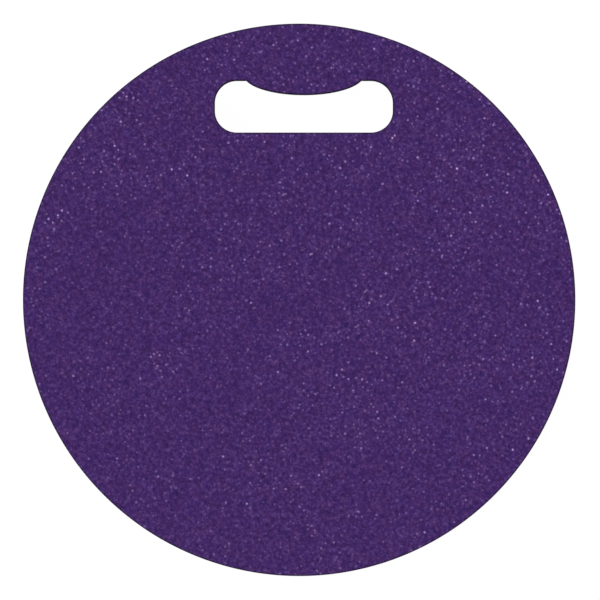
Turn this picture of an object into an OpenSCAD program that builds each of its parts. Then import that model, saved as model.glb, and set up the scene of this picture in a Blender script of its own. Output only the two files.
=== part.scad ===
// Wobble cushion: a flat foam seat disc with a carrying slot, bonded onto a ball-shaped foam rocker.
//
// The seat disc is a sandwich of three sheets, trimmed and slotted in one cut: seat sheet, stiffener
// sheet, under sheet. The rocker below it is four soft sheets with a firm spreader sheet in their
// middle, turned to one ball-shaped side wall, and it stands on a ribbed rubber sole.
//
// Origin: centre of the sole, on the floor. +Z is up and +Y points at the carrying slot. Millimetres.

/* [Seat disc] */
// Diameter of the seat disc
platform_d = 350; // [290:1:420]
// Thickness of the seat sheet, the soft foam that is sat on
seat_t = 12; // [8:0.5:20]
// Thickness of the firm stiffener sheet inside the disc
stiffener_t = 4; // [2:0.5:6]
// Thickness of the under sheet, the soft foam below the stiffener
under_t = 12; // [8:0.5:20]
// Radius that rounds the disc's upper and lower rim
rim_round = 1.5; // [0.5:0.1:3]

/* [Carrying slot] */
// Length of the slot, for four fingers side by side
slot_w = 113; // [90:1:140]
// Height of the slot at its ends
slot_h = 33; // [28:1:42]
// Radius of the slot's corners, at most what the slot's height leaves room for
slot_corner_r = 14; // [8:0.5:16]
// Width of the grip strip between the rim and the slot's outer edge, on the centre line
grip_strip = 36; // [28:1:46]
// Distance of the slot's middle from the disc's centre line, towards +X
slot_offset = 3; // [-6:0.5:6]
// Distance from each end of the slot to where the palm arch starts
arch_end = 20; // [16:1:30]
// Depth by which the palm arch bulges into the slot
arch_depth = 9; // [4:0.5:12]
// Height of the arch's ellipse centre above the slot's outer edge
arch_lift = 4; // [2:0.5:8]

/* [Rocker] */
// Thickness of each soft rocker sheet
rocker_sheet_t = 12; // [10:0.5:16]
// Thickness of the firm spreader sheet in the rocker's middle
spreader_t = 3; // [2:0.5:5]
// Gap, seen from above, between the slot and the top of the rocker, so that fingers pass beside it
slot_to_rocker = 6; // [4:0.5:12]

/* [Sole] */
// Diameter of the rubber sole, and of the rocker where it meets it
sole_d = 124; // [100:1:150]
// Thickness of the rubber sole
sole_t = 4; // [3:0.5:6]
// Size of the bevel around the sole's lower edge
sole_bevel = 1; // [0.5:0.1:1.5]
// Diameter of the smooth land in the middle of the sole
land_d = 22; // [14:1:30]
// Width of each groove in the sole's tread
groove_w = 3; // [2:0.5:4]
// Depth of each groove in the sole's tread
groove_depth = 1.2; // [0.5:0.1:1.5]
// Distance from one groove to the next
groove_pitch = 9; // [7:0.5:12]

/* [Hidden] */

$fn = 96;
foam_colour = [0.28, 0.18, 0.40];
firm_colour = [0.16, 0.15, 0.18];
rubber_colour = [0.10, 0.10, 0.11];
cut_margin = 1;
least_straight = 1;
arch_steps = 48;

// Levels from the floor up.
pitch_z = sole_t + rocker_sheet_t;
spreader_z = sole_t + 2 * rocker_sheet_t;
roll_z = spreader_z + spreader_t + rocker_sheet_t;
platform_z = spreader_z + spreader_t + 2 * rocker_sheet_t;
stiffener_z = platform_z + under_t;
seat_z = stiffener_z + stiffener_t;

// Carrying slot, in plan.
slot_outer_y = platform_d / 2 - grip_strip;
slot_inner_y = slot_outer_y - slot_h;
corner_r = min(slot_corner_r, (slot_h - least_straight) / 2);
arch_half_h = arch_depth + arch_lift;
arch_half_w = (slot_w / 2 - arch_end) / sqrt(1 - pow(arch_lift / arch_half_h, 2));

// The rocker's side wall is one ball, cut flat by the sole and by the disc.
rocker_h = platform_z - sole_t;
rocker_top_r = slot_inner_y - slot_to_rocker;
sole_r = sole_d / 2;
ball_rise = (pow(rocker_top_r, 2) + pow(rocker_h, 2) - pow(sole_r, 2)) / (2 * rocker_h);
ball_r = sqrt(pow(sole_r, 2) + pow(ball_rise, 2));

// Outline of the slot without its palm arch: a rectangle with round corners.
module slot_blank() {
    for (side = [-1, 1], level = [slot_inner_y + corner_r, slot_outer_y - corner_r])
        translate([slot_offset + side * (slot_w / 2 - corner_r), level])
            circle(r = corner_r);
    translate([slot_offset, slot_inner_y + slot_h / 2]) {
        square([slot_w - 2 * corner_r, slot_h], center = true);
        square([slot_w, slot_h - 2 * corner_r], center = true);
    }
}

// Lower half of the ellipse whose crown bulges into the slot as the palm arch.
module palm_arch() {
    translate([slot_offset, slot_outer_y + arch_lift])
        polygon([for (step = [0 : arch_steps])
            let (turn = 180 + 180 * step / arch_steps)
            [arch_half_w * cos(turn), arch_half_h * sin(turn)]]);
}

// The slot as a cutter through a sheet that starts at level z and is t thick.
module slot_cutter(z, t) {
    translate([0, 0, z - cut_margin])
        linear_extrude(height = t + 2 * cut_margin)
            difference() {
                slot_blank();
                palm_arch();
            }
}

// One sheet of the seat disc: a disc with the slot, its rim rounded above or below.
module disc_sheet(z, t, round_top = false, round_bottom = false) {
    flat_r = platform_d / 2 - rim_round;
    difference() {
        translate([0, 0, z])
            rotate_extrude($fn = 180) {
                square([flat_r, t]);
                translate([0, round_bottom ? rim_round : 0])
                    square([platform_d / 2, t - (round_bottom ? rim_round : 0) - (round_top ? rim_round : 0)]);
                if (round_top) translate([flat_r, t - rim_round]) circle(r = rim_round);
                if (round_bottom) translate([flat_r, rim_round]) circle(r = rim_round);
            }
        slot_cutter(z, t);
    }
}

// One slice of the rocker's ball, from level z, t thick.
module ball_slice(z, t) {
    intersection() {
        translate([0, 0, sole_t + ball_rise]) sphere(r = ball_r);
        translate([0, 0, z]) cylinder(r = ball_r + cut_margin, h = t);
    }
}

module seat_sheet() {
    color(foam_colour) disc_sheet(seat_z, seat_t, round_top = true);
}

module stiffener_sheet() {
    color(firm_colour) disc_sheet(stiffener_z, stiffener_t);
}

module under_sheet() {
    color(foam_colour) disc_sheet(platform_z, under_t, round_bottom = true);
}

module rocker_sheet_4() {
    color(foam_colour) ball_slice(roll_z, rocker_sheet_t);
}

module rocker_sheet_3() {
    color(foam_colour) ball_slice(spreader_z + spreader_t, rocker_sheet_t);
}

module spreader_sheet() {
    color(firm_colour) ball_slice(spreader_z, spreader_t);
}

module rocker_sheet_2() {
    color(foam_colour) ball_slice(pitch_z, rocker_sheet_t);
}

module rocker_sheet_1() {
    color(foam_colour) ball_slice(sole_t, rocker_sheet_t);
}

// Rubber sole: a disc with a bevelled lower edge and ring grooves cut into its underside.
module grip_sole() {
    first_groove = land_d / 2;
    last_groove = sole_r - sole_bevel - 2 * groove_w;
    color(rubber_colour) difference() {
        rotate_extrude($fn = 120)
            polygon([
                [0, 0], [sole_r - sole_bevel, 0], [sole_r, sole_bevel], [sole_r, sole_t], [0, sole_t]
            ]);
        for (inner = [first_groove : groove_pitch : last_groove])
            translate([0, 0, -cut_margin]) difference() {
                cylinder(r = inner + groove_w, h = groove_depth + cut_margin);
                translate([0, 0, -cut_margin])
                    cylinder(r = inner, h = groove_depth + 3 * cut_margin);
            }
    }
}

seat_sheet();
stiffener_sheet();
under_sheet();
rocker_sheet_4();
rocker_sheet_3();
spreader_sheet();
rocker_sheet_2();
rocker_sheet_1();
grip_sole();
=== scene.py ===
"""A wobble cushion for physiotherapy: a slotted foam seat disc on a ball-shaped foam rocker.

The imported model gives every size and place. Each soft sheet and the rubber sole is built here as a
surface on a grid and stands for its plain solid in the model; the two firm boards keep theirs.
All lengths are in metres, +Z is up and +Y points at the carrying slot.
"""

import logging
import math
from collections.abc import Sequence
from dataclasses import dataclass, field
from enum import Enum

import bpy
import numpy as np
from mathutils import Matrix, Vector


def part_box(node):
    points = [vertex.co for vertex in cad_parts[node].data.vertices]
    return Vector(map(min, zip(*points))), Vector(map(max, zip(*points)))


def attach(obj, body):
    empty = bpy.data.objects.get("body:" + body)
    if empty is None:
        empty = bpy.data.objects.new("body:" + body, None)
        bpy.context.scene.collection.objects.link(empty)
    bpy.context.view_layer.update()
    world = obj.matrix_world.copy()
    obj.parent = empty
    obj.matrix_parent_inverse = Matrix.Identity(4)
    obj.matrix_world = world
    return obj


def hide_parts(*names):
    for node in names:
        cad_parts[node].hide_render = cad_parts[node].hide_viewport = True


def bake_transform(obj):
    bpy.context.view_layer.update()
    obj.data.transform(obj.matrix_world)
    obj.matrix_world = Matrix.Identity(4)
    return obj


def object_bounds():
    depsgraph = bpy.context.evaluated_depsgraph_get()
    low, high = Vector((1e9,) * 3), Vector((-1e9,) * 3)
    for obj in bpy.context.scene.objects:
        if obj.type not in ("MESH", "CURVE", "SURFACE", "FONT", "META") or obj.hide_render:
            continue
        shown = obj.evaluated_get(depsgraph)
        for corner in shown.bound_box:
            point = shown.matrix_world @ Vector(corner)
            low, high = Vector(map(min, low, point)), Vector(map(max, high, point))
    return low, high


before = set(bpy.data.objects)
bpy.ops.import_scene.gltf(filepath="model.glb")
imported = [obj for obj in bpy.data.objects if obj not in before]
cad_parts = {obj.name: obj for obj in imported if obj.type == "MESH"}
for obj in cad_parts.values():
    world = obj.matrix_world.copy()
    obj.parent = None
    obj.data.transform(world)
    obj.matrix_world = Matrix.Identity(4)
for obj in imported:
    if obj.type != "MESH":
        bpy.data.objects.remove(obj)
CAD_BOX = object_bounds()

log = logging.getLogger("wobble_cushion")
MM = 0.001
# Degrees by which the patterns are turned, so that no flat face follows their lattice.
LATTICE_TURN = (37.0, 23.0, 51.0)
# The values between which most of a noise lies.
NOISE_SPAN = (0.35, 0.65)
# Places of the Mix node's colour sockets, which share their names with its number sockets.
MIX_FIRST, MIX_SECOND, MIX_RESULT = 6, 7, 2

Colour = tuple[float, float, float, float]


class Body(Enum):
    """The model's bodies, from the floor up."""

    FOOT = "foot"
    MIDDLE = "middle"
    SEAT = "seat"


class Finish(Enum):
    """The record's material slots."""

    SEAT_FOAM = "seat_foam"
    UNDER_FOAM = "under_foam"
    ROCKER_FOAM = "rocker_foam"
    STIFFENER_BOARD = "stiffener_board"
    SPREADER_BOARD = "spreader_board"
    SOLE_RUBBER = "sole_rubber"


def box_of(node: str) -> tuple[np.ndarray, np.ndarray]:
    """Give a node's lowest and highest corners.

    Args:
        node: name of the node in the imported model.

    Returns:
        The two corners.
    """
    low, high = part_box(node)
    return np.array(low, float), np.array(high, float)


def smooth_step(value: np.ndarray) -> np.ndarray:
    """Give 3v² - 2v³ of each value v, after limiting it to 0 to 1."""
    held = np.clip(value, 0.0, 1.0)
    return held * held * (3.0 - 2.0 * held)


def linear(srgb: tuple[float, float, float]) -> Colour:
    """Turn a display colour into a linear one, by the usual display curve.

    Args:
        srgb: red, green and blue, 0 to 255.

    Returns:
        Linear red, green and blue, with alpha 1.
    """
    share = np.clip(np.array(srgb, float) / 255.0, 0.0, 1.0)
    low, high = share / 12.92, ((share + 0.055) / 1.055) ** 2.4
    return (*[float(c) for c in np.where(share <= 0.04045, low, high)], 1.0)


# ---------------------------------------------------------------------------------------------
# Meshes from grids
# ---------------------------------------------------------------------------------------------


def ring_faces(rows: int, columns: int, closed_rows: bool) -> np.ndarray:
    """Join a grid's points into four-sided faces.

    Point (row, column) has the number row x columns + column. The columns always close on
    themselves, and so do the rows where closed_rows is set.

    Args:
        rows: number of rows.
        columns: number of columns.
        closed_rows: True if the last row joins the first.

    Returns:
        One row of four point numbers for each face.
    """
    row = np.arange(rows if closed_rows else rows - 1)
    column = np.arange(columns)
    r, c = np.meshgrid(row, column, indexing="ij")
    r_next, c_next = (r + 1) % rows, (c + 1) % columns
    corners = [r * columns + c, r * columns + c_next, r_next * columns + c_next, r_next * columns + c]
    return np.stack(corners, axis=-1).reshape(-1, 4)


def pole_faces(ring: np.ndarray, pole: int, outward: bool) -> list[tuple[int, int, int]]:
    """Close a ring of points with triangles that meet in one point.

    Args:
        ring: point numbers once round the ring.
        pole: number of the point that they meet in.
        outward: True if the triangles keep the ring's own direction.

    Returns:
        Three point numbers for each triangle.
    """
    pairs = zip(ring.tolist(), np.roll(ring, -1).tolist())
    return [(a, b, pole) if outward else (b, a, pole) for a, b in pairs]


def mesh_object(
    name: str,
    points: np.ndarray,
    faces: list[Sequence[int]],
    marks: dict[str, np.ndarray],
) -> bpy.types.Object:
    """Make a smooth-shaded object from points and faces, with one number per point for each mark.

    The faces are turned round if the volume that they enclose comes out negative, so that they
    always point outwards.

    Args:
        name: name of the piece.
        points: one row of x, y, z for each point.
        faces: point numbers of each face.
        marks: values per point, by attribute name.

    Returns:
        The new object, linked to the scene.
    """
    mesh = bpy.data.meshes.new(name)
    mesh.from_pydata(points.tolist(), [], faces)
    mesh.calc_loop_triangles()
    corner = np.empty(len(mesh.loop_triangles) * 3, np.int32)
    mesh.loop_triangles.foreach_get("vertices", corner)
    a, b, c = points[corner.reshape(-1, 3)].transpose(1, 0, 2)
    if np.einsum("ij,ij->i", a, np.cross(b, c)).sum() < 0:
        mesh.flip_normals()
    for mark, values in marks.items():
        layer = mesh.attributes.new(mark, "FLOAT", "POINT")
        layer.data.foreach_set("value", np.asarray(values, np.float32).ravel())
    mesh.shade_smooth()
    mesh.update()
    made = bpy.data.objects.new(name, mesh)
    bpy.context.scene.collection.objects.link(made)
    return made


def turned_object(
    name: str,
    grid: np.ndarray,
    marks: dict[str, np.ndarray],
    pole_marks: tuple[float, float] = (0.0, 0.0),
) -> bpy.types.Object:
    """Make an object from rings of points about Z, closed by a point below and a point above.

    Each pole lies on the axis, level with the first point of the ring that it closes.

    Args:
        name: name of the piece.
        grid: x, y, z of each point, by ring from the bottom up and by place round the ring.
        marks: values by attribute name, one for each point of the grid.
        pole_marks: value of every mark at the lower and the upper pole.

    Returns:
        The new object, linked to the scene.
    """
    rows, columns = grid.shape[:2]
    poles = [[0.0, 0.0, grid[0, 0, 2]], [0.0, 0.0, grid[-1, 0, 2]]]
    points = np.vstack([grid.reshape(-1, 3), poles])
    first, last = np.arange(columns), np.arange(columns) + (rows - 1) * columns
    faces = ring_faces(rows, columns, closed_rows=False).tolist()
    faces += pole_faces(first, rows * columns, outward=False)
    faces += pole_faces(last, rows * columns + 1, outward=True)
    full = {mark: np.append(values, pole_marks) for mark, values in marks.items()}
    return mesh_object(name, points, faces, full)


# ---------------------------------------------------------------------------------------------
# Outlines and edges
# ---------------------------------------------------------------------------------------------


@dataclass
class SlotOutline:
    """The carrying slot in plan: a rectangle with round corners and a palm arch in its outer edge.

    Its place, length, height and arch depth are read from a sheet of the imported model.
    """

    node: str = "stiffener_sheet"
    corner_radius: float = 14 * MM
    arch_end: float = 20 * MM
    arch_lift: float = 4 * MM
    edge_points: int = 96
    corner_points: int = 24
    side_points: int = 6
    ear_points: int = 8
    arch_points: int = 80
    middle_band: float = 1 * MM
    low: np.ndarray = field(init=False)
    high: np.ndarray = field(init=False)
    middle_x: float = field(init=False)
    arch_depth: float = field(init=False)

    def measure(self) -> None:
        """Read the slot's box and its arch's depth from the points of the model's own sheet."""
        mesh = bpy.data.objects[self.node].data
        flat = np.empty(len(mesh.vertices) * 3, np.float32)
        mesh.vertices.foreach_get("co", flat)
        points = flat.reshape(-1, 3)[:, :2].astype(float)
        away = np.linalg.norm(points, axis=1)
        inside = points[away < away.max() - self.corner_radius]
        self.low, self.high = inside.min(axis=0), inside.max(axis=0)
        self.middle_x = float((self.low[0] + self.high[0]) / 2)
        near = inside[np.abs(inside[:, 0] - self.middle_x) < self.middle_band]
        self.arch_depth = float(self.high[1] - near[:, 1].max())

    def loop(self) -> tuple[np.ndarray, np.ndarray]:
        """Walk once round the slot, from the middle of its inner edge towards +X.

        Straight stretches are even steps. Each corner is a quarter circle. The arch is the lower
        part of an ellipse whose centre stands arch_lift above the outer edge. The arch's ends face
        almost straight out, because a column that ran along the arch's steep end would cross others.

        Returns:
            The points in plan, and the direction on the rim, in degrees, that each one faces.
        """
        half = float((self.high[0] - self.low[0]) / 2)
        inner, outer, radius = float(self.low[1]), float(self.high[1]), self.corner_radius
        flat = half - radius
        rise = self.arch_depth + self.arch_lift
        chord = half - self.arch_end
        reach = chord / math.sqrt(1 - (self.arch_lift / rise) ** 2)
        end = math.acos(chord / reach)

        def line(a: tuple[float, float], b: tuple[float, float], count: int) -> np.ndarray:
            """Give count even steps from a towards b, without b."""
            return np.array(a) + np.arange(count)[:, None] / count * (np.array(b) - np.array(a))

        def corner(x: float, y: float, start: float) -> np.ndarray:
            """Give a quarter circle about x, y from the start angle, in degrees, without its end."""
            turn = np.radians(start + 90.0 * np.arange(self.corner_points) / self.corner_points)
            return np.stack([x + radius * np.cos(turn), y + radius * np.sin(turn)], axis=1)

        turn = -end - (math.pi - 2 * end) * np.arange(self.arch_points) / self.arch_points
        arch = np.stack([reach * np.cos(turn), outer + self.arch_lift + rise * np.sin(turn)], axis=1)
        low, high = inner + radius, outer - radius
        # Each stretch's points, and the directions that it faces from and to.
        stretches = [
            (line((0, inner), (flat, inner), self.edge_points), -90, 5),
            (corner(flat, low, -90), 5, 38),
            (line((half, low), (half, high), self.side_points), 38, 47),
            (corner(flat, high, 0), 47, 70),
            (line((flat, outer), (chord, outer), self.ear_points), 70, 77),
            (arch, 77, 103),
            (line((-chord, outer), (-flat, outer), self.ear_points), 103, 110),
            (corner(-flat, high, 90), 110, 133),
            (line((-half, high), (-half, low), self.side_points), 133, 142),
            (corner(-flat, low, 180), 142, 175),
            (line((-flat, inner), (0, inner), self.edge_points), 175, 270),
        ]
        points = np.concatenate([part for part, _, _ in stretches])
        facing = [a + (b - a) * np.arange(len(part)) / len(part) for part, a, b in stretches]
        return points + np.array([self.middle_x, 0.0]), np.concatenate(facing)


@dataclass
class EdgeProfile:
    """A cut wall from its lower edge to its upper one, as insets and heights.

    Both edges are quarter circles, and between them the wall bulges out by half a sine wave.
    """

    lower_round: float
    upper_round: float
    bulge: float
    arc_rows: int = 6
    wall_rows: int = 9

    def rows(self, height: float) -> np.ndarray:
        """Work the wall out.

        Args:
            height: height of the wall.

        Returns:
            A row for each level: inset from the cut line, height, and how much of it is cut wall,
            which rises from 0 at the flat face to 1 where the quarter circle meets the wall.
        """
        share = np.linspace(0.0, 1.0, self.arc_rows)
        quarter = share * math.pi / 2
        low_in, low_z = 1 - np.sin(quarter), 1 - np.cos(quarter)
        low = np.stack([self.lower_round * low_in, self.lower_round * low_z, share], axis=1)
        high = np.stack([self.upper_round * low_in, height - self.upper_round * low_z, share], axis=1)
        z = np.linspace(low[-1, 1], high[-1, 1], self.wall_rows + 2)[1:-1]
        wall = np.stack([np.zeros_like(z), z, np.ones_like(z)], axis=1)
        made = np.concatenate([low, wall, high[::-1]])
        made[:, 0] -= self.bulge * np.sin(math.pi * made[:, 1] / height)
        return made


# ---------------------------------------------------------------------------------------------
# Shader groups and finishes
# ---------------------------------------------------------------------------------------------


class Nodes:
    """A node tree with short calls to add nodes and links."""

    def __init__(self, tree: bpy.types.NodeTree) -> None:
        """Keep the tree and empty it."""
        self.tree = tree
        tree.nodes.clear()

    def add(self, kind: str, **settings: object) -> bpy.types.Node:
        """Add a node and set its properties.

        Args:
            kind: the node's type name, without the ShaderNode in front of it.
            settings: properties by name.

        Returns:
            The node.
        """
        prefix = "" if kind.startswith("NodeGroup") else "ShaderNode"
        node = self.tree.nodes.new(prefix + kind)
        for name, value in settings.items():
            setattr(node, name, value)
        return node

    def feed(self, socket: bpy.types.NodeSocket, value: object) -> None:
        """Link an output to an input socket, or set the socket to a plain value.

        Args:
            socket: the input socket.
            value: the output socket or the plain value.
        """
        if isinstance(value, bpy.types.NodeSocket):
            self.tree.links.new(value, socket)
        else:
            socket.default_value = value

    def askew(self, place: bpy.types.NodeSocket) -> bpy.types.NodeSocket:
        """Turn coordinates by LATTICE_TURN.

        Args:
            place: the coordinates.

        Returns:
            The turned coordinates.
        """
        node = self.add("Mapping")
        node.inputs["Rotation"].default_value = [math.radians(turn) for turn in LATTICE_TURN]
        self.feed(node.inputs["Vector"], place)
        return node.outputs["Vector"]

    def math(self, operation: str, *values: object, clamp: bool = False) -> bpy.types.NodeSocket:
        """Work out one step of arithmetic.

        Args:
            operation: the Math node's operation.
            values: numbers or sockets, in the node's order.
            clamp: True to limit the result to 0 to 1.

        Returns:
            The result.
        """
        node = self.add("Math", operation=operation, use_clamp=clamp)
        for socket, value in zip(node.inputs, values):
            self.feed(socket, value)
        return node.outputs["Value"]

    def spread(
        self, value: object, low: float, high: float, new_low: float, new_high: float
    ) -> bpy.types.NodeSocket:
        """Carry a value from one range to another, limited to the new range.

        Args:
            value: the number or socket.
            low: lower end of its range.
            high: upper end of its range.
            new_low: what the lower end becomes.
            new_high: what the upper end becomes.

        Returns:
            The carried value.
        """
        node = self.add("MapRange")
        for name, number in zip(
            ("Value", "From Min", "From Max", "To Min", "To Max"), (value, low, high, new_low, new_high)
        ):
            self.feed(node.inputs[name], number)
        return node.outputs["Result"]

    def noise(
        self, vector: object, scale: object, detail: float, rough: float = 0.5
    ) -> bpy.types.NodeSocket:
        """Give a noise value, about 0.3 to 0.7.

        Args:
            vector: the coordinates.
            scale: features per metre.
            detail: number of finer noises that are added.
            rough: weight of each finer noise as a share of the one before it.

        Returns:
            The noise.
        """
        node = self.add("TexNoise", noise_dimensions="3D")
        self.feed(node.inputs["Vector"], vector)
        self.feed(node.inputs["Scale"], scale)
        node.inputs["Detail"].default_value = detail
        node.inputs["Roughness"].default_value = rough
        return node.outputs["Fac"]

    def blend(
        self, share: object, first: object, second: object, kind: str = "MIX"
    ) -> bpy.types.NodeSocket:
        """Mix two colours.

        Args:
            share: how much of the second, from 0 to 1.
            first: the first colour.
            second: the second colour.
            kind: the Mix node's way of mixing.

        Returns:
            The mixed colour.
        """
        node = self.add("Mix", data_type="RGBA", blend_type=kind)
        self.feed(node.inputs["Factor"], share)
        self.feed(node.inputs[MIX_FIRST], first)
        self.feed(node.inputs[MIX_SECOND], second)
        return node.outputs[MIX_RESULT]

    def ramp(self, value: object, stops: list[tuple[float, Colour]]) -> bpy.types.NodeSocket:
        """Turn a value into a colour.

        Args:
            value: the value, from 0 to 1.
            stops: value and colour of each stop, in rising order.

        Returns:
            The colour.
        """
        node = self.add("ValToRGB")
        bar = node.color_ramp.elements
        bar.remove(bar[1])
        bar[0].position, bar[0].color = stops[0]
        for place, colour in stops[1:]:
            bar.new(place).color = colour
        self.feed(node.inputs["Fac"], value)
        return node.outputs["Color"]

    def group(self, made: bpy.types.NodeTree, **values: object) -> bpy.types.Node:
        """Place a group and feed its inputs.

        Args:
            made: the group.
            values: values or sockets by input name, with _ for each space.

        Returns:
            The group's node.
        """
        node = self.add("Group", node_tree=made)
        for name, value in values.items():
            self.feed(node.inputs[name.replace("_", " ")], value)
        return node

    def bump(
        self, height: object, distance: float, strength: float = 1.0, under: object = None
    ) -> bpy.types.NodeSocket:
        """Turn a height into a normal.

        Args:
            height: the height, as a share of the distance.
            distance: how high 1 stands, in metres.
            strength: how much of the bump shows.
            under: the normal of a bump that this one lies on.

        Returns:
            The normal.
        """
        node = self.add("Bump")
        self.feed(node.inputs["Height"], height)
        self.feed(node.inputs["Distance"], distance)
        self.feed(node.inputs["Strength"], strength)
        if under is not None:
            self.feed(node.inputs["Normal"], under)
        return node.outputs["Normal"]

    def surface(self, colour: object, roughness: object, normal: object, specular: float) -> None:
        """Add a material's shader and output.

        Args:
            colour: the base colour.
            roughness: the roughness.
            normal: the normal.
            specular: the specular level.
        """
        shader = self.add("BsdfPrincipled")
        self.feed(shader.inputs["Base Color"], colour)
        self.feed(shader.inputs["Roughness"], roughness)
        self.feed(shader.inputs["Normal"], normal)
        shader.inputs["Specular IOR Level"].default_value = specular
        self.feed(self.add("OutputMaterial").inputs["Surface"], shader.outputs["BSDF"])


def new_material(name: str) -> tuple[bpy.types.Material, Nodes]:
    """Start a material.

    Args:
        name: the material's name.

    Returns:
        The material and its node helper.
    """
    made = bpy.data.materials.new(name)
    made.use_nodes = True
    return made, Nodes(made.node_tree)


def new_group(
    name: str, inputs: dict[str, tuple[str, object]], outputs: dict[str, str]
) -> tuple[bpy.types.NodeTree, Nodes, bpy.types.Node, bpy.types.Node]:
    """Start a shader group with its sockets.

    Args:
        name: the group's name.
        inputs: socket type and first value of each input, by name.
        outputs: socket type of each output, by name.

    Returns:
        The tree, its node helper, and its input and output nodes.
    """
    tree = bpy.data.node_groups.new(name, "ShaderNodeTree")
    for label, (kind, value) in inputs.items():
        socket = tree.interface.new_socket(label, in_out="INPUT", socket_type="NodeSocket" + kind)
        if value is not None:
            socket.default_value = value
    for label, kind in outputs.items():
        tree.interface.new_socket(label, in_out="OUTPUT", socket_type="NodeSocket" + kind)
    nodes = Nodes(tree)
    return tree, nodes, nodes.add("NodeGroupInput"), nodes.add("NodeGroupOutput")


def grain_and_painted_glint_group(
    octaves: int = 6,
    falloff: float = 0.28,
    patch_detail: float = 3.0,
    patch_rough: float = 0.55,
    patch_span: tuple[float, float] = (0.32, 0.68),
    sparse: float = 0.55,
    dense: float = 1.45,
    least_chance: float = 0.0005,
) -> bpy.types.NodeTree:
    """Build the speckle of closed-cell foam: grain, and glints of its cells as painted highlights.

    Grain is a sum of noises about 0. The two finest have weight 1, and each coarser one is twice
    the size and has falloff times the weight of the one before it. A painted glint is a round spot
    about a random point of each cell of a Voronoi pattern: (1 - distance²)² times -log of a random
    number, so that most are faint and a few are bright. Patches of slow noise strengthen the
    painted glints here and there, and the drift strengthens them towards one side of the sheet.

    Args:
        octaves: number of noises in the grain.
        falloff: weight of each coarser noise as a share of the one before it.
        patch_detail: number of finer noises in the patches.
        patch_rough: weight of each finer noise in the patches.
        patch_span: values of the slow noise where the painted glints are sparsest and densest.
        sparse: strength of the painted glints where they are sparsest.
        dense: strength of the painted glints where they are densest.
        least_chance: least random number, which limits the brightest painted glint.

    Returns:
        The group.
    """
    tree, n, entry, leave = new_group(
        "foam flecks",
        {
            "Vector": ("Vector", None),
            "Grain Scale": ("Float", 1000.0),
            "Cell Scale": ("Float", 500.0),
            "Fleck Radius": ("Float", 0.35),
            "Patch Scale": ("Float", 40.0),
            "Drift": ("Float", 0.0),
        },
        {"Grain": "Float", "Painted Glints": "Float", "Patch": "Float"},
    )
    place = entry.outputs["Vector"]
    grain = 0.0
    for octave in range(octaves):
        scale = n.math("MULTIPLY", entry.outputs["Grain Scale"], 0.5**octave)
        wave = n.math("SUBTRACT", n.noise(place, scale, 0.0), 0.5)
        grain = n.math("MULTIPLY_ADD", wave, min(1.0, falloff ** (octave - 1)), grain)
    cells = n.add("TexVoronoi", feature="F1", voronoi_dimensions="3D")
    n.feed(cells.inputs["Vector"], place)
    n.feed(cells.inputs["Scale"], entry.outputs["Cell Scale"])
    near = n.math("DIVIDE", cells.outputs["Distance"], entry.outputs["Fleck Radius"])
    dome = n.math("SUBTRACT", 1.0, n.math("MULTIPLY", near, near), clamp=True)
    split = n.add("SeparateColor")
    n.feed(split.inputs["Color"], cells.outputs["Color"])
    chance = n.math("MAXIMUM", split.outputs["Red"], least_chance)
    strength = n.math("MULTIPLY", n.math("LOGARITHM", chance, math.e), -1.0)
    patch = n.noise(place, entry.outputs["Patch Scale"], patch_detail, patch_rough)
    density = n.math("ADD", n.spread(patch, *patch_span, sparse, dense), entry.outputs["Drift"])
    # Glint spots: the finish paints them into the colour as painted highlights, where a foam cell catches
    # light.
    spot = n.math("MULTIPLY", n.math("MULTIPLY", dome, dome), strength)
    n.feed(leave.inputs["Grain"], grain)
    n.feed(leave.inputs["Painted Glints"], n.math("MULTIPLY", spot, density))
    n.feed(leave.inputs["Patch"], n.math("SUBTRACT", patch, 0.5))
    return tree


def pore_group(radius: float = 0.36, closed: float = 0.35) -> bpy.types.NodeTree:
    """Build the opened cells of a cut wall: round pits about the random points of a Voronoi pattern.

    Args:
        radius: radius of a pit as a share of the pattern's cell.
        closed: share of the cells that the cut leaves closed.

    Returns:
        The group.
    """
    tree, n, entry, leave = new_group(
        "cut pores", {"Vector": ("Vector", None), "Scale": ("Float", 900.0)}, {"Pits": "Float"}
    )
    cells = n.add("TexVoronoi", feature="F1", voronoi_dimensions="3D")
    n.feed(cells.inputs["Vector"], entry.outputs["Vector"])
    n.feed(cells.inputs["Scale"], entry.outputs["Scale"])
    near = n.math("DIVIDE", cells.outputs["Distance"], radius)
    dome = n.math("SUBTRACT", 1.0, n.math("MULTIPLY", near, near), clamp=True)
    split = n.add("SeparateColor")
    n.feed(split.inputs["Color"], cells.outputs["Color"])
    opened = n.spread(split.outputs["Green"], closed, 1.0, 0.0, 1.0)
    n.feed(leave.inputs["Pits"], n.math("MULTIPLY", dome, opened))
    return tree


def scuff_group(
    detail: float = 4.0, rough: float = 0.65, worn: tuple[float, float] = (0.46, 0.64)
) -> bpy.types.NodeTree:
    """Build edge scuffs: the edge mark, broken up by noise, as a mask from 0 to 1.

    Args:
        detail: number of finer noises in the breaks.
        rough: weight of each finer noise as a share of the one before it.
        worn: values of the noise where a scuff starts and where it is full.

    Returns:
        The group.
    """
    tree, n, entry, leave = new_group(
        "edge scuffs",
        {"Vector": ("Vector", None), "Edge": ("Float", 0.0), "Scale": ("Float", 180.0)},
        {"Mask": "Float"},
    )
    broken = n.noise(entry.outputs["Vector"], entry.outputs["Scale"], detail, rough)
    patches = n.spread(broken, *worn, 0.0, 1.0)
    n.feed(leave.inputs["Mask"], n.math("MULTIPLY", patches, entry.outputs["Edge"]))
    return tree


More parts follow.
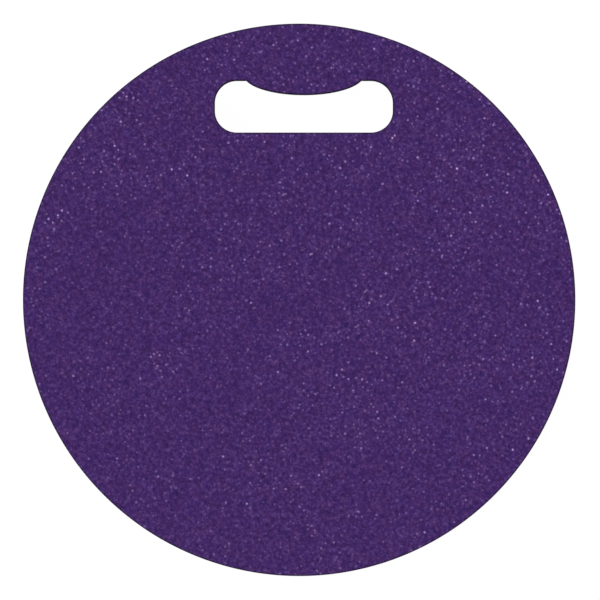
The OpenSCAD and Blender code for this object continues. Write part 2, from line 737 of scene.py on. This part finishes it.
def dust_group(
    detail: float = 5.0,
    rough: float = 0.6,
    settled: tuple[float, float] = (0.42, 0.7),
    fine_ratio: float = 25.0,
    fine_detail: float = 2.0,
    thinnest: float = 0.3,
) -> bpy.types.NodeTree:
    """Build a thin film of dust as a mask from 0 to 1: slow patches broken by fine noise.

    Args:
        detail: number of finer noises in the patches.
        rough: weight of each finer noise as a share of the one before it.
        settled: values of the slow noise where the dust starts and where it is full.
        fine_ratio: how many times finer the fine noise is than the patches.
        fine_detail: number of finer noises in the fine noise.
        thinnest: share of the dust that the fine noise leaves where it takes most.

    Returns:
        The group.
    """
    tree, n, entry, leave = new_group(
        "dust film",
        {"Vector": ("Vector", None), "Scale": ("Float", 30.0)},
        {"Mask": "Float"},
    )
    slow = n.noise(entry.outputs["Vector"], entry.outputs["Scale"], detail, rough)
    fine_scale = n.math("MULTIPLY", entry.outputs["Scale"], fine_ratio)
    fine = n.noise(entry.outputs["Vector"], fine_scale, fine_detail)
    patches = n.spread(slow, *settled, 0.0, 1.0)
    n.feed(leave.inputs["Mask"], n.math("MULTIPLY", patches, n.spread(fine, *NOISE_SPAN, thinnest, 1.0)))
    return tree


@dataclass(frozen=True)
class Shared:
    """The shader groups that more than one finish uses."""

    grain_and_painted_glints: bpy.types.NodeTree
    pores: bpy.types.NodeTree
    scuffs: bpy.types.NodeTree
    dust: bpy.types.NodeTree


@dataclass(frozen=True)
class FoamFinish:
    """Speckled closed-cell foam: purple, with pale pin-point glints of its cells as painted highlights.

    The surface's lightness is a signal in display steps above or below the body colour, and a
    ramp turns it into a colour, from the dark of a cell wall to the pale lilac of a painted glint.
    The body colour is how the foam looks in the studio, so a step's base colour is that look less
    the sky's reflection, divided by the light that falls on it. Fields that end in steps or step
    are display steps. The drift is how much the painted glints gain for each metre towards +X, +Y
    and +Z.
    """

    name: str
    body: tuple[float, float, float] = (68, 42.2, 100)
    light: float = 0.945
    reflection: float = 0.0123
    dark_step: float = -30.0
    pale_step: float = 130.0
    middle_steps: tuple[float, ...] = (0.0, 12.0, 28.0, 50.0, 85.0)
    grain_steps: float = 39.5
    painted_glint_steps: float = 18.5
    patch_steps: float = 4.0
    grain_size: float = 1.15 * MM
    cell_size: float = 2.55 * MM
    glint_radius: float = 0.442
    patch_size: float = 42 * MM
    drift: tuple[float, float, float] = (1.2, 1.8, 0.0)
    hue_size: float = 6.5 * MM
    hue_detail: float = 2.0
    hue_span: tuple[float, float] = (0.36, 0.64)
    cool: Colour = (0.95, 1.0, 1.033, 1.0)
    warm: Colour = (1.07, 1.0, 0.95, 1.0)
    pore_size: float = 1.3 * MM
    pore_shade_steps: float = 44.0
    cut_darkness: float = 4.0
    edge_shade: float = 0.95
    rub_step: float = 26.0
    rub_share: float = 0.2
    roughness: float = 0.82
    glint_roughness: float = 0.45
    specular: float = 0.25
    glint_height: float = 0.25
    pore_depth: float = 2.5
    bump_height: float = 0.12 * MM
    bump_strength: float = 0.6
    drag_scale: float = 1400.0
    drag_stretch: float = 0.08
    drag_detail: float = 2.0
    drag_height: float = 0.10 * MM
    drag_strength: float = 0.5
    least_light: float = 0.001

    def step_colour(self, step: float) -> Colour:
        """Give the colour that lies some display steps above the body colour.

        Args:
            step: the number of display steps, below 0 for a darker colour.

        Returns:
            Linear red, green and blue, with alpha 1.
        """
        seen = linear(tuple(channel + step for channel in self.body))[:3]
        return (*[max((c - self.reflection) / self.light, self.least_light) for c in seen], 1.0)

    def build(self, shared: Shared) -> bpy.types.Material:
        """Make the material.

        Args:
            shared: the shader groups.

        Returns:
            The material.
        """
        made, n = new_material(self.name)
        upright = n.add("TexCoord").outputs["Object"]
        place = n.askew(upright)
        edge = n.add("Attribute", attribute_name="edge").outputs["Fac"]
        cut = n.add("Attribute", attribute_name="cut").outputs["Fac"]
        lean = n.add("VectorMath", operation="DOT_PRODUCT")
        n.feed(lean.inputs[0], upright)
        n.feed(lean.inputs[1], self.drift)
        grain_and_painted_glints = n.group(
            shared.grain_and_painted_glints,
            Vector=place,
            Grain_Scale=1 / self.grain_size,
            Cell_Scale=1 / self.cell_size,
            Fleck_Radius=self.glint_radius,
            Patch_Scale=1 / self.patch_size,
            Drift=lean.outputs["Value"],
        )
        grain, painted_glint = grain_and_painted_glints.outputs["Grain"], grain_and_painted_glints.outputs["Painted Glints"]
        pores = n.group(shared.pores, Vector=place, Scale=1 / self.pore_size).outputs["Pits"]
        # Painted shade: the pits of opened cells on cut walls are darkened in colour, as well as bumped in.
        pits = n.math("MULTIPLY", pores, cut)
        signal = n.math("MULTIPLY", grain, self.grain_steps)
        # Painted highlights: the glints of the foam's cells lift the colour towards pale lilac.
        for amount, steps in (
            (painted_glint, self.painted_glint_steps),
            (grain_and_painted_glints.outputs["Patch"], self.patch_steps),
            (cut, -self.cut_darkness),
            (pits, -self.pore_shade_steps),
        ):
            signal = n.math("MULTIPLY_ADD", amount, steps, signal)
        colour = self.colour(n, signal, place, edge, shared)
        gloss = n.math("MULTIPLY", n.math("MINIMUM", painted_glint, 1.0), self.roughness - self.glint_roughness)
        rough = n.math("SUBTRACT", self.roughness, gloss, clamp=True)
        height = n.math("MULTIPLY_ADD", painted_glint, self.glint_height, grain)
        height = n.math("MULTIPLY_ADD", pits, -self.pore_depth, height)
        cells = n.bump(height, self.bump_height, self.bump_strength)
        stretch = n.add("Mapping")
        stretch.inputs["Scale"].default_value = (1.0, 1.0, self.drag_stretch)
        n.feed(stretch.inputs["Vector"], upright)
        marks = n.noise(stretch.outputs["Vector"], self.drag_scale, self.drag_detail)
        drag = n.math("MULTIPLY", marks, cut)
        normal = n.bump(drag, self.drag_height, self.drag_strength, under=cells)
        n.surface(colour, rough, normal, self.specular)
        return made

    def colour(
        self,
        n: Nodes,
        signal: bpy.types.NodeSocket,
        place: bpy.types.NodeSocket,
        edge: bpy.types.NodeSocket,
        shared: Shared,
    ) -> bpy.types.NodeSocket:
        """Turn the signal into the foam's colour, with warm and cool spots and worn, shaded edges.

        Args:
            n: the material's node helper.
            signal: lightness in display steps.
            place: the turned coordinates.
            edge: the edge mark.
            shared: the shader groups.

        Returns:
            The base colour.
        """
        span = self.pale_step - self.dark_step
        share = n.math("DIVIDE", n.math("SUBTRACT", signal, self.dark_step), span, clamp=True)
        steps = (self.dark_step, *self.middle_steps, self.pale_step)
        colour = n.ramp(share, [((step - self.dark_step) / span, self.step_colour(step)) for step in steps])
        hue = n.spread(n.noise(place, 1 / self.hue_size, self.hue_detail), *self.hue_span, 0.0, 1.0)
        colour = n.blend(1.0, colour, n.blend(hue, self.cool, self.warm), "MULTIPLY")
        scuffs = n.group(shared.scuffs, Vector=place, Edge=edge)
        rubbed = n.math("MULTIPLY", scuffs.outputs["Mask"], self.rub_share)
        colour = n.blend(rubbed, colour, self.step_colour(self.rub_step))
        return n.blend(n.math("MULTIPLY", edge, self.edge_shade), colour, (0.0, 0.0, 0.0, 1.0))


@dataclass(frozen=True)
class BoardFinish:
    """Firm foamed plastic board: charcoal, with a fine sawn edge and a little dust."""

    name: str
    body: tuple[float, float, float] = (46, 43, 52)
    dusty: tuple[float, float, float] = (96, 90, 104)
    grain_size: float = 0.7 * MM
    grain_detail: float = 3.0
    grain_rough: float = 0.6
    grain_share: float = 0.18
    dust_scale: float = 60.0
    dust_share: float = 0.22
    roughness: tuple[float, float] = (0.54, 0.72)
    specular: float = 0.35
    bump_height: float = 0.05 * MM

    def build(self, shared: Shared) -> bpy.types.Material:
        """Make the material.

        Args:
            shared: the shader groups.

        Returns:
            The material.
        """
        made, n = new_material(self.name)
        place = n.askew(n.add("TexCoord").outputs["Object"])
        grain = n.noise(place, 1 / self.grain_size, self.grain_detail, self.grain_rough)
        dust = n.group(shared.dust, Vector=place, Scale=self.dust_scale).outputs["Mask"]
        pale = n.spread(grain, *NOISE_SPAN, 0.0, self.grain_share)
        colour = n.blend(pale, linear(self.body), linear(self.dusty))
        colour = n.blend(n.math("MULTIPLY", dust, self.dust_share), colour, linear(self.dusty))
        rough = n.spread(grain, *NOISE_SPAN, *self.roughness)
        n.surface(colour, rough, n.bump(grain, self.bump_height), self.specular)
        return made


@dataclass(frozen=True)
class RubberFinish:
    """Moulded rubber: near black, with a bloom of dust on its faces and a rubbed tread."""

    name: str
    body: tuple[float, float, float] = (36, 35, 38)
    rubbed: tuple[float, float, float] = (84, 80, 86)
    dusty: tuple[float, float, float] = (132, 126, 132)
    grain_size: float = 0.45 * MM
    grain_detail: float = 2.0
    grain_rough: float = 0.6
    scuff_scale: float = 260.0
    scuff_share: float = 0.55
    dust_scale: float = 45.0
    dust_share: float = 0.3
    roughness: tuple[float, float] = (0.62, 0.76)
    dust_roughness: float = 0.15
    specular: float = 0.4
    bump_height: float = 0.06 * MM

    def build(self, shared: Shared) -> bpy.types.Material:
        """Make the material.

        Args:
            shared: the shader groups.

        Returns:
            The material.
        """
        made, n = new_material(self.name)
        place = n.askew(n.add("TexCoord").outputs["Object"])
        edge = n.add("Attribute", attribute_name="edge").outputs["Fac"]
        grain = n.noise(place, 1 / self.grain_size, self.grain_detail, self.grain_rough)
        dust = n.group(shared.dust, Vector=place, Scale=self.dust_scale).outputs["Mask"]
        scuff = n.group(shared.scuffs, Vector=place, Edge=edge, Scale=self.scuff_scale).outputs["Mask"]
        rubbed = n.math("MULTIPLY", scuff, self.scuff_share)
        colour = n.blend(rubbed, linear(self.body), linear(self.rubbed))
        colour = n.blend(n.math("MULTIPLY", dust, self.dust_share), colour, linear(self.dusty))
        rough = n.spread(grain, *NOISE_SPAN, *self.roughness)
        rough = n.math("MULTIPLY_ADD", dust, self.dust_roughness, rough, clamp=True)
        n.surface(colour, rough, n.bump(grain, self.bump_height), self.specular)
        return made


# ---------------------------------------------------------------------------------------------
# Pieces
# ---------------------------------------------------------------------------------------------


@dataclass
class CutSheet:
    """One foam sheet of the seat disc, die-cut to a circle with the carrying slot through it."""

    node: str
    name: str
    finish: Finish
    outline: SlotOutline
    slot_edge: EdgeProfile
    rim_edge: EdgeProfile
    face_rows: int = 16
    edge_steps: tuple[float, ...] = (0.35 * MM, 0.8 * MM, 1.5 * MM, 3.0 * MM)
    edge_fade: float = 1.15 * MM
    relief: float = 0.18 * MM
    waves: tuple[float, float] = (31.0, 23.0)
    wave_starts: tuple[float, float] = (0.7, 1.9)
    fill: float = 1.0

    def section(self, height: float) -> np.ndarray:
        """Walk once round the sheet's own section, from the slot's lower edge.

        The walk goes up the slot's wall, out over the top face, down the rim's wall and back under
        the bottom face. Near both edges the faces' rows keep a fixed distance from the cut line.

        Args:
            height: thickness of the sheet.

        Returns:
            A row for each loop: share from slot, 0, to rim, 1, then the insets from the slot's and
            from the rim's cut line, the height, and how much of it is cut wall.
        """
        slot, rim = self.slot_edge.rows(height), self.rim_edge.rows(height)
        step = np.array(self.edge_steps)
        middle = smooth_step(np.linspace(0.0, 1.0, self.face_rows + 2)[1:-1])

        def wall(rows: np.ndarray, share: float) -> np.ndarray:
            """Lay a wall's rows out as rows of the section.

            Args:
                rows: inset, height and how much is cut wall.
                share: 0 at the slot, 1 at the rim.

            Returns:
                The section's rows.
            """
            near = rows[:, 0]
            away = np.zeros_like(near)
            insets = (near, away) if share == 0 else (away, near)
            return np.stack([away + share, *insets, rows[:, 1], rows[:, 2]], axis=1)

        def face(slot_in: float, rim_in: float, level: float) -> np.ndarray:
            """Give a flat face's rows from the slot to the rim.

            Args:
                slot_in: inset of the slot's wall where the face meets it.
                rim_in: inset of the rim's wall where the face meets it.
                level: height of the face.

            Returns:
                The section's rows.
            """
            share = np.concatenate([np.zeros_like(step), middle, np.ones_like(step)])
            away = np.concatenate([step, np.full_like(middle, step[-1]), step[::-1]])
            flat = np.zeros_like(share)
            return np.stack([share, away + slot_in, away + rim_in, flat + level, flat], axis=1)

        top = face(slot[-1, 0], rim[-1, 0], height)
        bottom = face(slot[0, 0], rim[0, 0], 0.0)
        return np.concatenate([wall(slot, 0.0), top, wall(rim[::-1], 1.0), bottom[::-1]])

    def build(self) -> bpy.types.Object:
        """Make the sheet as one closed surface that runs round its own section.

        A row is a loop round the slot or the rim, or a mix of both: point = slot point x (1 - share)
        + rim point x share, where both are moved off the cut line by the row's inset. The top face
        carries a slow relief, a product of two waves, that fades out at its edges. The edge mark is
        1 on an edge and falls off with the distance from it.

        Returns:
            The object.
        """
        low, high = box_of(self.node)
        height, radius = float(high[2] - low[2]), float(high[0] - low[0]) / 2
        slot, facing = self.outline.loop()
        turn = np.radians(facing)
        rim_way = np.stack([np.cos(turn), np.sin(turn)], axis=1)
        rows = self.section(height)
        share, slot_in, rim_in, level, cut = (column[:, None] for column in rows.T)
        inner = slot[None] + self.outward(slot)[None] * slot_in[..., None]
        outer = rim_way[None] * (radius - rim_in)[..., None]
        plan = inner * (1 - share[..., None]) + outer * share[..., None]
        x, y = np.moveaxis(plan, -1, 0)
        waves = np.sin(x * self.waves[0] + self.wave_starts[0])
        waves = waves * np.cos(y * self.waves[1] + self.wave_starts[1])
        fade = np.sin(math.pi * share) * (level > height / 2)
        z = low[2] + level + self.relief * fade * waves
        points = np.dstack([plan, z]).reshape(-1, 3)
        gap = np.where(share == 0, slot_in, np.where(share == 1, rim_in, self.edge_fade))
        off_edge = np.hypot(np.maximum(gap, 0.0), np.minimum(level, height - level))
        edge = np.broadcast_to(1 - smooth_step(off_edge / self.edge_fade), z.shape)
        faces = ring_faces(*z.shape, closed_rows=True)
        marks = {"edge": edge, "cut": np.broadcast_to(cut, z.shape)}
        made = mesh_object(self.name, points, faces.tolist(), marks)
        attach(made, Body.SEAT.value)
        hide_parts(self.node)
        return made

    @staticmethod
    def outward(loop: np.ndarray) -> np.ndarray:
        """Give the unit direction from the slot into the foam at each point of a loop.

        It is square to the line between the two neighbours. The loop runs with the slot on its
        left, so the foam lies on its right.

        Args:
            loop: the points in plan.

        Returns:
            One direction for each point.
        """
        along = np.roll(loop, -1, axis=0) - np.roll(loop, 1, axis=0)
        along /= np.linalg.norm(along, axis=1)[:, None]
        return np.stack([along[:, 1], -along[:, 0]], axis=1)


@dataclass
class Ball:
    """The ball that the rocker's side wall follows, found from the model's lowest and highest ring."""

    lower_node: str = "rocker_sheet_1"
    upper_node: str = "rocker_sheet_4"
    sole_node: str = "grip_sole"
    centre: float = field(init=False)
    radius: float = field(init=False)

    def measure(self) -> None:
        """Find the centre's height and the radius from two rings: r² + (z - centre)² = radius²."""
        low, _ = box_of(self.lower_node)
        sole_low, sole_high = box_of(self.sole_node)
        top_low, top_high = box_of(self.upper_node)
        z1, r1 = float(low[2]), float(sole_high[0] - sole_low[0]) / 2
        z2, r2 = float(top_high[2]), float(top_high[0] - top_low[0]) / 2
        self.centre = (r2**2 - r1**2 + z2**2 - z1**2) / (2 * (z2 - z1))
        self.radius = math.hypot(r1, z1 - self.centre)

    def radius_at(self, z: np.ndarray) -> np.ndarray:
        """Give the distance from the axis to the ball's surface at each height."""
        return np.sqrt(self.radius**2 - (z - self.centre) ** 2)


@dataclass
class RockerSheet:
    """One soft sheet of the rocker, turned to the shared ball."""

    node: str
    name: str
    ball: Ball
    below: Body
    above: Body
    bend_from: float
    bend_to: float
    columns: int = 288
    wall_rows: int = 16
    face_rows: int = 8
    seam_depth: float = 0.55 * MM
    seam_width: float = 0.55 * MM
    bulge: float = 0.35 * MM
    waver: float = 0.12 * MM
    waver_turns: tuple[int, int] = (3, 7)
    waver_shares: tuple[float, float] = (0.6, 0.4)
    waver_starts: tuple[float, float] = (0.0, 1.3)
    edge_fade: float = 0.9 * MM
    fill: float = 1.0

    def build(self) -> bpy.types.Object:
        """Make the sheet as a surface turned about Z, closed by a pole below and one above.

        The wall's radius is the ball's at that height, plus half a sine wave of bulge, less a seam
        that falls off with distance from each glued edge as e to the minus square, plus a slow
        waver round the turn from hand sanding.

        Returns:
            The object.
        """
        low, high = box_of(self.node)
        height = float(high[2] - low[2])
        rise = smooth_step(np.linspace(0.0, 1.0, self.wall_rows)) * height
        seam = sum(np.exp(-((off / self.seam_width) ** 2)) for off in (rise, height - rise))
        wall = self.ball.radius_at(low[2] + rise) + self.bulge * np.sin(math.pi * rise / height)
        wall = wall - self.seam_depth * seam
        inward = np.linspace(0.0, 1.0, self.face_rows + 1)[1:-1]
        flat = np.zeros_like(inward)
        radius = np.concatenate([inward * wall[0], wall, inward[::-1] * wall[-1]])
        level = np.concatenate([flat, rise, flat + height])
        on_wall = np.concatenate([flat, np.ones_like(wall), flat])
        turn = 2 * math.pi * np.arange(self.columns) / self.columns
        wavers = zip(self.waver_turns, self.waver_shares, self.waver_starts)
        sway = sum(np.sin(turns * turn + start) * share for turns, share, start in wavers)
        spread = radius[:, None] + self.waver * sway[None] * on_wall[:, None]
        z = np.broadcast_to((low[2] + level)[:, None], spread.shape)
        grid = np.dstack([spread * np.cos(turn), spread * np.sin(turn), z])
        near = 1 - smooth_step(np.minimum(level, height - level) / self.edge_fade)
        marks = {"edge": np.repeat(near * on_wall, self.columns), "cut": np.repeat(on_wall, self.columns)}
        made = turned_object(self.name, grid, marks)
        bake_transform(made)
        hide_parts(self.node)
        return made


@dataclass
class GripSole:
    """The moulded rubber sole: rings of blocks with grooves between them and a plain land."""

    node: str = "grip_sole"
    name: str = "moulded_sole"
    land_radius: float = 11 * MM
    groove_width: float = 3 * MM
    groove_depth: float = 1.2 * MM
    pitch: float = 9 * MM
    bevel: float = 1 * MM
    slit_width: float = 1.1 * MM
    slit_depth: float = 0.9 * MM
    slits: int = 16
    rest_points: int = 3
    top_rings: int = 7
    top_inmost: float = 0.125
    lip: float = 0.25 * MM
    edge_fade: float = 0.5 * MM

    def build(self) -> bpy.types.Object:
        """Make the sole as rings from the lower pole, over the tread and up the side to the top.

        The tread's height over the floor is the larger of two things: the groove depth where the
        radius falls in a groove, and the slit depth where the point lies within half a slit width
        of a slit's middle line. Slits of every other ring of blocks stand half a step round.

        Returns:
            The object.
        """
        low, high = box_of(self.node)
        radius, height = float(high[0] - low[0]) / 2, float(high[2] - low[2])
        tread_r, tread_z, band = self.rings(radius - self.bevel)
        side_r = np.array([radius - self.lip, radius, radius, radius, radius - self.lip])
        side_z = np.array([self.bevel - self.lip, self.bevel, height / 2, height - self.lip, height])
        top_r = np.linspace(radius - 2 * self.lip, radius * self.top_inmost, self.top_rings)
        ring_r = np.concatenate([tread_r, side_r, top_r])
        ring_z = np.concatenate([tread_z, side_z, np.full(len(top_r), height)])
        turn = self.turns(ring_r)
        in_slit = np.concatenate([[0, 1, 1, 0], np.zeros(self.rest_points)])
        slit = np.arange(2 * self.slits)
        number = np.zeros(len(ring_r), int)
        number[: len(band)] = band
        open_here = (slit + number[:, None]) % 2 * (number[:, None] > 0)
        tread = (open_here[:, :, None] * in_slit).reshape(len(ring_r), -1) * self.slit_depth
        z = np.maximum(ring_z[:, None], tread)
        out = ring_r[:, None]
        grid = np.dstack([out * np.cos(turn), out * np.sin(turn), low[2] + z])
        ground = (z < self.edge_fade) & (out < radius)
        made = turned_object(self.name, grid, {"edge": ground.astype(float)}, pole_marks=(1.0, 0.0))
        made.data.shade_flat()
        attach(made, Body.FOOT.value)
        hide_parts(self.node)
        return made

    def turns(self, ring_r: np.ndarray) -> np.ndarray:
        """Give the turn of each point of each ring.

        Each slit has four columns, two at each of its walls, and the block after it has rest_points
        more in even steps. A wall's turn is its slit's turn plus a width divided by the radius, so
        that the two walls of a slit are parallel.

        Args:
            ring_r: radius of each ring.

        Returns:
            A row of turns about Z for each ring.
        """
        half, step = self.slit_width / 2, math.pi / self.slits
        at = np.maximum(ring_r, self.land_radius)[:, None]
        across = np.array([-half - self.lip, -half, half, half + self.lip])[None] / at
        gap = step - across[:, 3:] + across[:, :1]
        rest = across[:, 3:] + gap * np.linspace(0.0, 1.0, self.rest_points + 2)[None, 1:-1]
        shift = np.concatenate([across, rest], axis=1)
        slit_turn = np.arange(2 * self.slits) * step
        return (slit_turn[None, :, None] + shift[:, None]).reshape(len(ring_r), -1)

    def rings(self, outer: float) -> tuple[np.ndarray, np.ndarray, np.ndarray]:
        """Lay out the tread's rings, five for each groove, from the middle to the bevel.

        Args:
            outer: radius where the tread meets the bevel.

        Returns:
            The radius of each ring, its height over the floor, and the number of the ring of blocks
            that it belongs to, which is 0 where there are no slits.
        """
        start = np.arange(self.land_radius, outer - 2 * self.groove_width, self.pitch)
        end = start + self.groove_width
        middle = start + self.pitch - self.groove_width
        middle[-1] = (end[-1] + self.lip + outer) / 2
        groove = np.stack([start - self.lip, start, end, end + self.lip, middle], axis=1)
        roof = np.tile([0.0, self.groove_depth, self.groove_depth, 0.0, 0.0], len(start))
        number = np.arange(len(start))[:, None] + np.array([0, 0, 1, 1, 1])
        radius = np.concatenate([[self.land_radius / 2], groove.ravel(), [outer - self.lip, outer]])
        height = np.concatenate([[0.0], roof, [0.0, self.lip / 2]])
        band = np.concatenate([[0], number.ravel(), [len(start), 0]])
        return radius, height, band


@dataclass
class Board:
    """A firm board that keeps its shape from the model and gets its finish here."""

    node: str
    finish: Finish

    def dress(self, material: bpy.types.Material) -> bpy.types.Object:
        """Give the model's board its material.

        Args:
            material: the board's finish.

        Returns:
            The board.
        """
        made = bpy.data.objects[self.node]
        set_material(made, material)
        return made


def set_material(piece: bpy.types.Object, material: bpy.types.Material) -> None:
    """Put one material into a piece's only slot.

    Args:
        piece: the object to dress.
        material: the material for its slot.
    """
    if not piece.material_slots:
        piece.data.materials.append(material)
    for place in piece.material_slots:
        place.material = material


# ---------------------------------------------------------------------------------------------
# Sub-assemblies
# ---------------------------------------------------------------------------------------------


@dataclass
class SeatDisc:
    """The upper sandwich: seat sheet, stiffener board and under sheet, with the carrying slot."""

    edge_round: float = 0.8 * MM
    glued_round: float = 0.3 * MM
    bulge: float = 0.12 * MM

    def build(self, finishes: dict[Finish, bpy.types.Material]) -> list[bpy.types.Object]:
        """Build and dress the three sheets.

        Args:
            finishes: the material of each slot.

        Returns:
            The pieces.
        """
        outline = SlotOutline()
        outline.measure()
        upper, lower = (self.glued_round, self.edge_round), (self.edge_round, self.glued_round)
        pieces = []
        for node, name, finish, edges in (
            ("seat_sheet", "seat_foam_disc", Finish.SEAT_FOAM, upper),
            ("under_sheet", "under_foam_disc", Finish.UNDER_FOAM, lower),
        ):
            slot_edge, rim_edge = EdgeProfile(*edges, 0.0), EdgeProfile(*edges, self.bulge)
            piece = CutSheet(node, name, finish, outline, slot_edge, rim_edge).build()
            set_material(piece, finishes[finish])
            pieces.append(piece)
        board = Finish.STIFFENER_BOARD
        pieces.append(Board("stiffener_sheet", board).dress(finishes[board]))
        return pieces


@dataclass
class Rocker:
    """The ball-shaped rocker: two pairs of soft sheets with the spreader board between them.

    Each pair names the body below it and the body above it.
    """

    pairs: tuple[tuple[Body, Body, tuple[int, int]], ...] = (
        (Body.FOOT, Body.MIDDLE, (1, 2)),
        (Body.MIDDLE, Body.SEAT, (3, 4)),
    )

    def build(self, finishes: dict[Finish, bpy.types.Material]) -> list[bpy.types.Object]:
        """Build and dress the four soft sheets and the spreader board.

        Args:
            finishes: the material of each slot.

        Returns:
            The pieces.
        """
        ball = Ball()
        ball.measure()
        pieces = []
        for below, above, numbers in self.pairs:
            start = float(box_of(f"rocker_sheet_{numbers[0]}")[0][2])
            end = float(box_of(f"rocker_sheet_{numbers[-1]}")[1][2])
            for number in numbers:
                sheet = RockerSheet(
                    f"rocker_sheet_{number}", f"rocker_foam_{number}", ball, below, above, start, end
                )
                piece = sheet.build()
                set_material(piece, finishes[Finish.ROCKER_FOAM])
                pieces.append(piece)
        board = Finish.SPREADER_BOARD
        pieces.append(Board("spreader_sheet", board).dress(finishes[board]))
        return pieces


@dataclass
class Foot:
    """The rubber sole that the cushion stands on."""

    def build(self, finishes: dict[Finish, bpy.types.Material]) -> list[bpy.types.Object]:
        """Build and dress the sole.

        Args:
            finishes: the material of each slot.

        Returns:
            The sole, as the only piece.
        """
        piece = GripSole().build()
        set_material(piece, finishes[Finish.SOLE_RUBBER])
        return [piece]


# ---------------------------------------------------------------------------------------------
# Studio
# ---------------------------------------------------------------------------------------------


@dataclass
class Studio:
    """A white floor, even sky light, one broad lamp and a camera straight above the cushion."""

    floor_radii: tuple[float, float] = (1.0, 30.0)
    floor_columns: int = 128
    floor_gap: float = 0.05 * MM
    hole_share: float = 0.96
    floor_bounce: float = 0.78
    floor_shown: float = 0.06
    floor_glow: float = 0.978
    sky: float = 0.44
    lamp_strength: float = 2.13
    lamp_angle: float = 50.0
    lamp_tilt: tuple[float, float, float] = (-16.0, -20.0, 0.0)
    lens: float = 800.0
    sensor: float = 36.0
    disc_share: float = 0.9208
    aim: tuple[float, float] = (0.55 * MM, -0.1 * MM)
    clip_ratio: float = 10.0

    def floor(self) -> bpy.types.Object:
        """Lay the floor as rings of points about Z.

        They start from a hole that the sole covers, which lets light reach the tread from below.

        Returns:
            The floor.
        """
        sole_low, sole_high = box_of("grip_sole")
        hole = float(sole_high[0] - sole_low[0]) / 2 * self.hole_share
        radius = np.array([self.floor_radii[1], self.floor_radii[0], hole])[:, None]
        turn = 2 * math.pi * np.arange(self.floor_columns) / self.floor_columns
        level = np.full((len(radius), len(turn)), float(CAD_BOX[0][2]) - self.floor_gap)
        points = np.dstack([radius * np.cos(turn), radius * np.sin(turn), level]).reshape(-1, 3)
        mesh = bpy.data.meshes.new("floor")
        mesh.from_pydata(points.tolist(), [], ring_faces(*level.shape, closed_rows=False).tolist())
        made = bpy.data.objects.new("floor", mesh)
        bpy.context.scene.collection.objects.link(made)
        mesh.materials.append(self.white())
        return made

    def white(self) -> bpy.types.Material:
        """Make the floor's white, which the camera sees glow, and sees through from below.

        Light that bounces meets a plain matt white. The camera sees a darker matt plus a glow, which
        add up to just over white, so that shadows on the floor stay faint.

        Returns:
            The material.
        """
        made, n = new_material("studio white")
        matt = n.add("BsdfDiffuse")
        seen = n.add("LightPath").outputs["Is Camera Ray"]
        n.feed(matt.inputs["Color"], n.spread(seen, 0.0, 1.0, self.floor_bounce, self.floor_shown))
        glow = n.add("Emission")
        n.feed(glow.inputs["Strength"], n.math("MULTIPLY", seen, self.floor_glow))
        both = n.add("AddShader")
        n.feed(both.inputs[0], matt.outputs["BSDF"])
        n.feed(both.inputs[1], glow.outputs["Emission"])
        from_below = n.add("MixShader")
        n.feed(from_below.inputs[0], n.add("NewGeometry").outputs["Backfacing"])
        n.feed(from_below.inputs[1], both.outputs["Shader"])
        n.feed(from_below.inputs[2], n.add("BsdfTransparent").outputs["BSDF"])
        n.feed(n.add("OutputMaterial").inputs["Surface"], from_below.outputs["Shader"])
        return made

    def light(self) -> None:
        """Light the scene with an even white sky and one broad sun."""
        scene = bpy.context.scene
        world = bpy.data.worlds.new("studio sky")
        world.use_nodes = True
        n = Nodes(world.node_tree)
        rays = n.add("LightPath")
        sky = n.add("Background")
        n.feed(sky.inputs["Strength"], n.spread(rays.outputs["Is Camera Ray"], 0.0, 1.0, self.sky, 1.0))
        n.feed(n.add("OutputWorld").inputs["Surface"], sky.outputs["Background"])
        scene.world = world
        lamp = bpy.data.lights.new("broad lamp", "SUN")
        lamp.energy = self.lamp_strength
        lamp.angle = math.radians(self.lamp_angle)
        made = bpy.data.objects.new("broad lamp", lamp)
        made.rotation_euler = [math.radians(a) for a in self.lamp_tilt]
        scene.collection.objects.link(made)

    def camera(self) -> None:
        """Hang a long-lens camera straight above, so that the disc fills its share of the frame."""
        low, high = (np.array(c, float) for c in CAD_BOX)
        lens = bpy.data.cameras.new("camera")
        lens.lens, lens.sensor_width = self.lens, self.sensor
        width = float(high[0] - low[0]) / self.disc_share
        away = width * self.lens / self.sensor
        made = bpy.data.objects.new("camera", lens)
        made.location = (self.aim[0], self.aim[1], float(high[2]) + away)
        lens.clip_start, lens.clip_end = away / self.clip_ratio, away * self.clip_ratio
        bpy.context.scene.collection.objects.link(made)
        bpy.context.scene.camera = made

    def build(self) -> None:
        """Set up the floor, the light, the camera and plain display colours."""
        self.floor()
        self.light()
        self.camera()
        bpy.context.scene.view_settings.view_transform = "Standard"


def make_finishes() -> dict[Finish, bpy.types.Material]:
    """Build the shader groups and the material of each slot.

    Returns:
        The material of each slot.
    """
    shared = Shared(grain_and_painted_glint_group(), pore_group(), scuff_group(), dust_group())
    made = {
        Finish.SEAT_FOAM: FoamFinish("speckled seat foam"),
        Finish.UNDER_FOAM: FoamFinish("speckled under foam"),
        Finish.ROCKER_FOAM: FoamFinish("turned rocker foam", cut_darkness=2.0, edge_shade=0.6),
        Finish.STIFFENER_BOARD: BoardFinish("stiffener board"),
        Finish.SPREADER_BOARD: BoardFinish("spreader board"),
        Finish.SOLE_RUBBER: RubberFinish("sole rubber"),
    }
    return {slot: finish.build(shared) for slot, finish in made.items()}


def main() -> None:
    """Build the cushion from the floor up, then the studio, and report each piece."""
    logging.basicConfig(level=logging.INFO, format="%(message)s")
    finishes = make_finishes()
    for assembly in (Foot(), Rocker(), SeatDisc()):
        for piece in assembly.build(finishes):
            log.info("%s: %s, %d faces", type(assembly).__name__, piece.name, len(piece.data.polygons))
    Studio().build()


if __name__ == "__main__":
    main()
